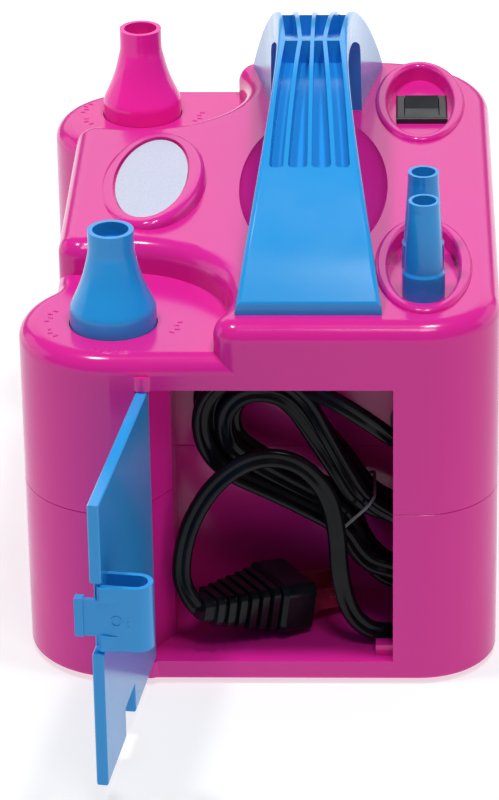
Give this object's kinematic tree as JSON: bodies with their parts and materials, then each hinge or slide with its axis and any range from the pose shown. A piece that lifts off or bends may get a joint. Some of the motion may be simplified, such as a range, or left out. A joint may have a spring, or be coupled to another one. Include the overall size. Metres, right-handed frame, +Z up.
{
  "type": "electric balloon pump",
  "caption": "Mains-powered twin-nozzle balloon blower with a carrying handle, push-to-blow nozzles, a rocker switch and a hinged door over its cord compartment.",
  "frame": {"origin": "centre of the body's footprint, on the plane that the rubber feet rest on", "axes": "+Z up, -Y out of the face with the cord door, +X towards the rocker switch side"},
  "size_m": [0.144, 0.2817, 0.1689],
  "materials": {
    "pink_plastic": "gloss moulded",
    "blue_plastic": "gloss moulded",
    "black_plastic": "satin moulded",
    "cord_pvc": "semi-gloss flexible sleeve",
    "label_film": "satin film",
    "steel": "plated",
    "copper_wire": "enamelled",
    "lamination_steel": "stamped",
    "grey_plastic": "moulded",
    "rubber": "moulded",
    "foam": "open cell",
    "carbon": "pressed carbon",
    "brass": "bright",
    "capacitor_film": "dipped",
    "wire_sleeve": "sleeve"
  },
  "bodies": {
    "housing": {"lower_housing": "pink_plastic", "upper_housing": "pink_plastic", "handle": "blue_plastic", "handle_screws": "steel", "front_valve_seat": "grey_plastic", "rear_valve_seat": "grey_plastic", "front_return_spring": "steel", "rear_return_spring": "steel", "front_push_switch": "black_plastic", "rear_push_switch": "black_plastic", "switch_bezel": "black_plastic", "label_plate": "label_film", "blower_scroll": "grey_plastic", "blower_cover": "grey_plastic", "stator_core": "lamination_steel", "field_coils": "copper_wire", "motor_frame": "grey_plastic", "lower_bearing": "steel", "upper_bearing": "steel", "brush_holders": "brass", "carbon_brushes": "carbon", "motor_cushion": "rubber", "air_duct": "grey_plastic", "duct_gasket": "foam", "intake_filter": "foam", "suppression_capacitor": "capacitor_film", "terminal_block": "black_plastic", "cord_clamp": "black_plastic", "inner_wires": "wire_sleeve", "cord_gland": "cord_pvc", "cord_lead": "cord_pvc", "cord_hank": "cord_pvc", "cord_tail": "cord_pvc", "cord_tie": "grey_plastic", "plug_body": "cord_pvc", "plug_blades": "brass", "rubber_feet": "rubber", "housing_screws": "steel"},
    "door": {"cord_door": "blue_plastic"},
    "latch": {"door_latch": "blue_plastic"},
    "front_push_nozzle": {"front_nozzle": "blue_plastic", "front_valve_disc": "rubber"},
    "rear_push_nozzle": {"rear_nozzle": "pink_plastic", "rear_valve_disc": "rubber"},
    "front_button": {"front_switch_button": "black_plastic"},
    "rear_button": {"rear_switch_button": "black_plastic"},
    "slim_front": {"slim_nozzle_front": "blue_plastic"},
    "slim_rear": {"slim_nozzle_rear": "blue_plastic"},
    "rocker": {"switch_rocker": "black_plastic"},
    "rotor": {"impeller": "grey_plastic", "impeller_nut": "steel", "motor_shaft": "steel", "armature_core": "lamination_steel", "armature_winding": "copper_wire", "commutator": "brass"}
  },
  "joints": [
    {"name": "door_hinge", "type": "hinge", "parent": "housing", "child": "door", "pos_m": [-0.0336, -0.1032, 0.0538], "axis": [0, 0, 1], "range_deg": [-4, 97.9]},
    {"name": "latch_flex", "type": "hinge", "parent": "door", "child": "latch", "pos_m": [-0.02759, -0.17269, 0.0632], "axis": [0, 0, 1], "range_deg": [-5, 0], "stiffness_Nm_per_rad": 0.6, "springref_deg": 2.86},
    {"name": "front_nozzle_press", "type": "slide", "parent": "housing", "child": "front_push_nozzle", "axis": [0, 0, -1], "range_m": [0, 0.0035], "stiffness_N_per_m": 600, "springref_m": -0.005, "deforming": ["front_return_spring"]},
    {"name": "rear_nozzle_press", "type": "slide", "parent": "housing", "child": "rear_push_nozzle", "axis": [0, 0, -1], "range_m": [0, 0.0035], "stiffness_N_per_m": 600, "springref_m": -0.005, "deforming": ["rear_return_spring"]},
    {"name": "front_button_press", "type": "slide", "parent": "housing", "child": "front_button", "axis": [0, 0, -1], "range_m": [0, 0.0035]},
    {"name": "rear_button_press", "type": "slide", "parent": "housing", "child": "rear_button", "axis": [0, 0, -1], "range_m": [0, 0.0035]},
    {"name": "slim_front_lift", "type": "slide", "parent": "housing", "child": "slim_front", "axis": [0, 0, 1], "range_m": [0, 0.035]},
    {"name": "slim_rear_lift", "type": "slide", "parent": "housing", "child": "slim_rear", "axis": [0, 0, 1], "range_m": [0, 0.035]},
    {"name": "rocker_tilt", "type": "hinge", "parent": "housing", "child": "rocker", "pos_m": [0.0499, 0.0679, 0.1147], "axis": [1, 0, 0], "range_deg": [-16, 0]},
    {"name": "rotor_spin", "type": "hinge", "parent": "housing", "child": "rotor", "pos_m": [0.019, 0.024, 0.045], "axis": [0, 0, 1], "continuous": true}
  ],
  "couplings": [
    {"joint": "front_button_press", "follows": "front_nozzle_press", "ratio": 1},
    {"joint": "rear_button_press", "follows": "rear_nozzle_press", "ratio": 1}
  ]
}
